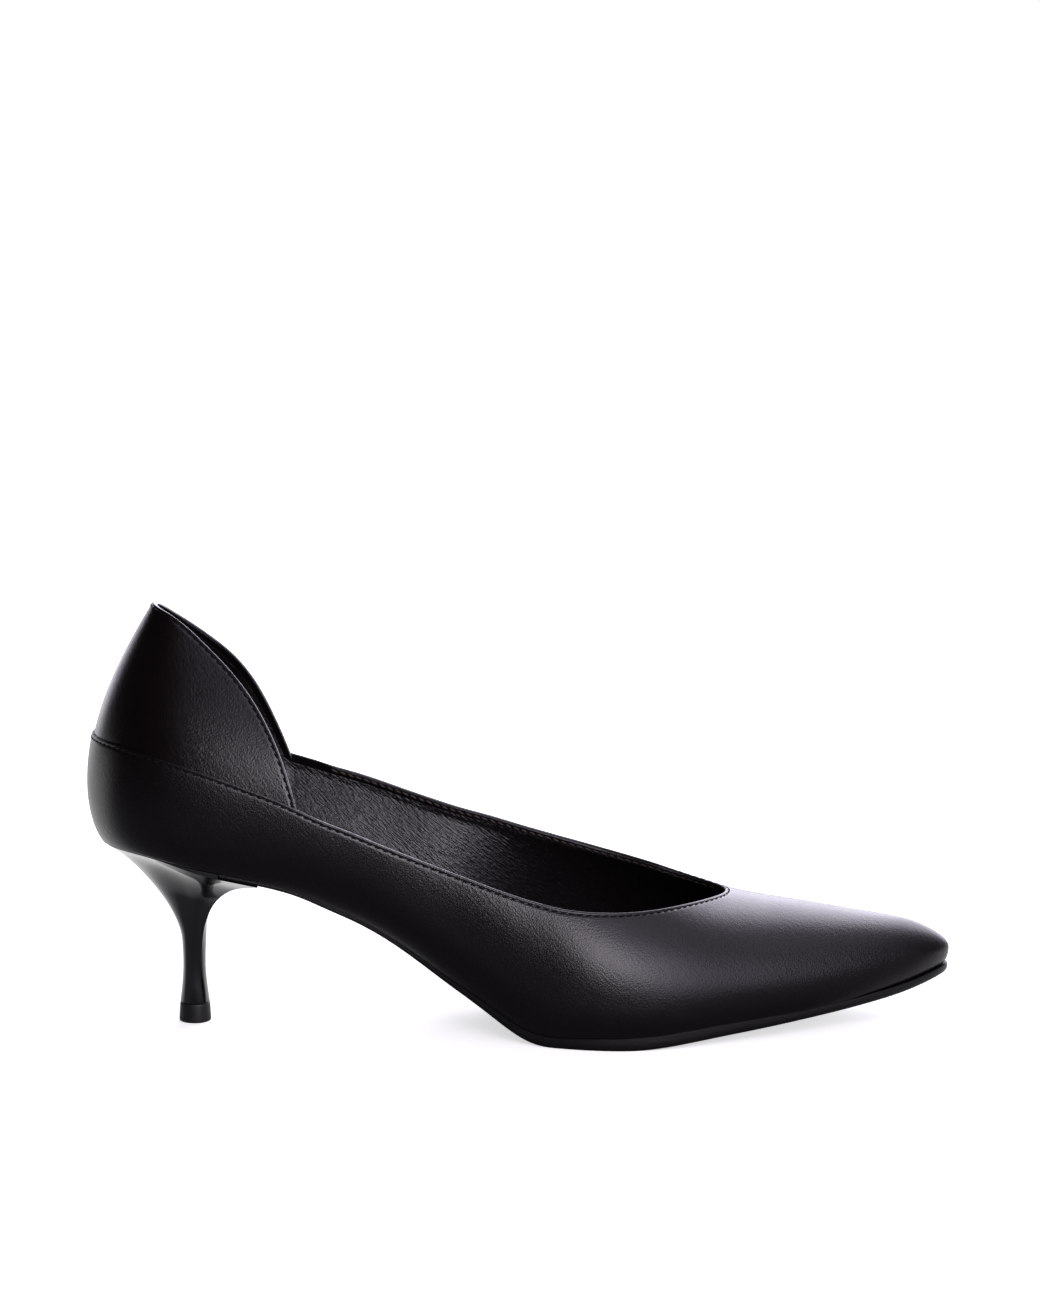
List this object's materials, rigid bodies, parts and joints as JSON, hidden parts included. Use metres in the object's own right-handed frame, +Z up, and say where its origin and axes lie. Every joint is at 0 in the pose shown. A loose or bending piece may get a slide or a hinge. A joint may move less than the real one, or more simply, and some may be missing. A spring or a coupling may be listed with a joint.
{
  "type": "kitten heel court shoe",
  "caption": "Black leather pointed-toe court shoe with a kitten heel, a low cut topline and a raised pointed back panel lapped under the quarters.",
  "frame": {"origin": "on the floor plane, under the middle of the shoe's length and width", "axes": "+X from the heel to the toe, +Z up, -Y towards the outer side of the foot"},
  "size_m": [0.2582, 0.0792, 0.1277],
  "materials": {
    "leather": "smooth black calf leather with a fine grain and a soft semi-gloss",
    "sole_leather": "black stained leather sole with a burnished edge",
    "lining": "soft matte black lining leather",
    "heel_lacquer": "high gloss black lacquer",
    "top_piece_plastic": "matte black hard plastic"
  },
  "bodies": {
    "root": {"upper": "leather", "back_panel": "leather", "outsole": "sole_leather", "insole": "lining", "heel": "heel_lacquer", "top_piece": "top_piece_plastic"}
  },
  "joints": []
}
